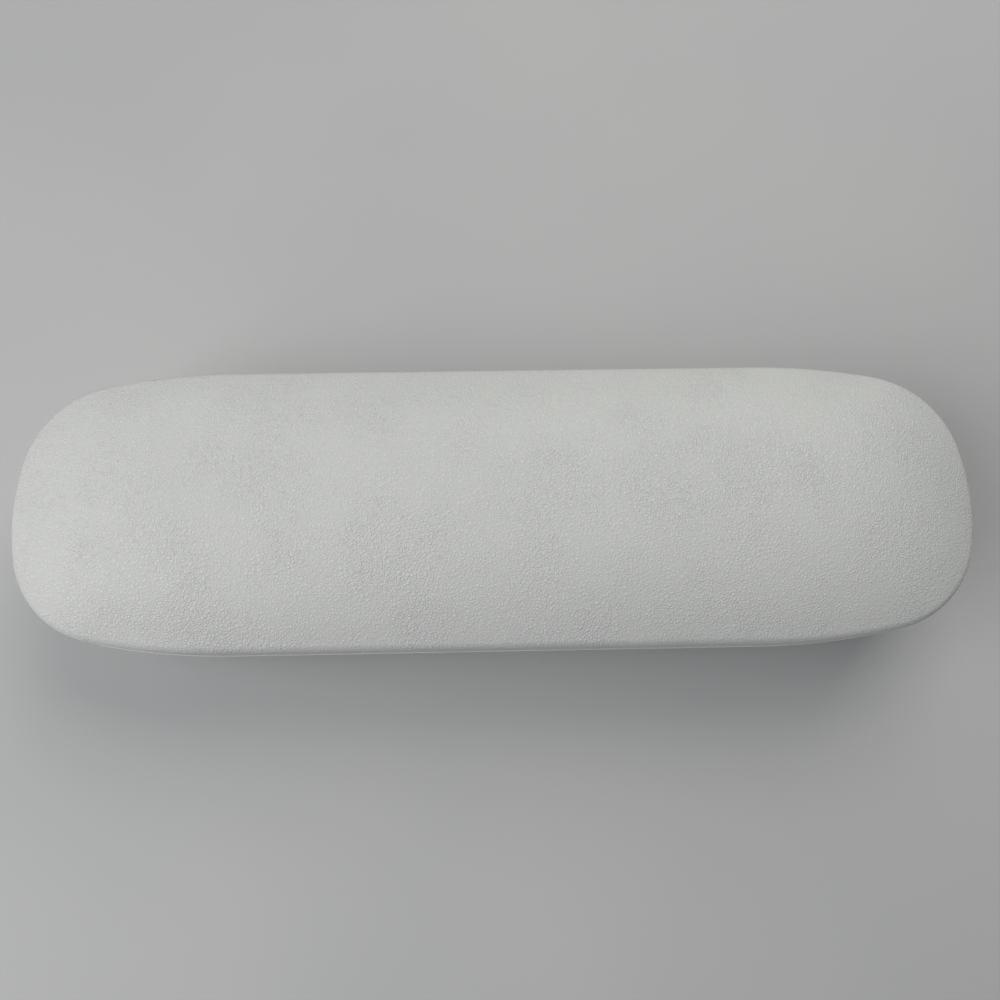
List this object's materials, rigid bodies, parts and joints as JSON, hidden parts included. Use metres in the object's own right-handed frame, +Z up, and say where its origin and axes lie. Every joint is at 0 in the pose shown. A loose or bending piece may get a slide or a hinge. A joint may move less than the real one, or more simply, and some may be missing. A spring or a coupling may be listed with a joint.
{
  "type": "electric toothbrush travel case",
  "caption": "hinged hard case in pebbled leatherette, with a moulded tray for an electric toothbrush and spare brush heads and a charging coil at the foot",
  "frame": {"origin": "middle of the flat underside of the closed case", "axes": "+X along the case with the foot of the toothbrush at -X, +Y to the hinged back, +Z up"},
  "size_m": [0.2408, 0.0731, 0.0448],
  "materials": {
    "leatherette": "fine pebble grain",
    "shell_plastic": "moulded",
    "tray_plastic": "fine satin",
    "liner_plastic": "fine satin",
    "soft_liner": "soft touch",
    "foam": "cloth over foam",
    "steel": "plated",
    "magnet_plating": "nickel plated",
    "coil_wire": "enamelled copper wire",
    "ferrite": "sintered",
    "board_laminate": "solder mask",
    "black_plastic": "moulded",
    "capacitor_can": "bare"
  },
  "bodies": {
    "base": {"base_cover": "leatherette", "base_hinge_leaf_left": "steel", "base_hinge_leaf_right": "steel", "base_hinge_screws": "steel", "base_magnet_left": "magnet_plating", "base_magnet_right": "magnet_plating", "base_shell": "shell_plastic", "base_tray": "tray_plastic", "board_screws": "steel", "bobbin_pins": "steel", "capacitors": "capacitor_can", "charging_coil": "coil_wire", "circuit_board": "board_laminate", "coil_bobbin": "black_plastic", "driver_chip": "black_plastic", "ferrite_core": "ferrite", "handle_pad_foot": "soft_liner", "handle_pad_neck": "soft_liner", "head_pad_left": "soft_liner", "head_pad_right": "soft_liner", "hinge_pin_left": "steel", "hinge_pin_right": "steel", "power_inductor": "ferrite", "socket_bezel": "black_plastic", "tray_screws": "steel", "usb_socket": "steel", "usb_tongue": "black_plastic"},
    "lid": {"lid_cover": "leatherette", "lid_hinge_leaf_left": "steel", "lid_hinge_leaf_right": "steel", "lid_hinge_screws": "steel", "lid_liner": "liner_plastic", "lid_magnet_left": "magnet_plating", "lid_magnet_right": "magnet_plating", "lid_pad_foot": "foam", "lid_pad_neck": "foam", "lid_shell": "shell_plastic"}
  },
  "joints": [
    {"name": "lid_hinge", "type": "hinge", "parent": "base", "child": "lid", "pos_m": [0, 0.0347, 0.02615], "axis": [-1, 0, 0], "range_deg": [0, 110]}
  ]
}
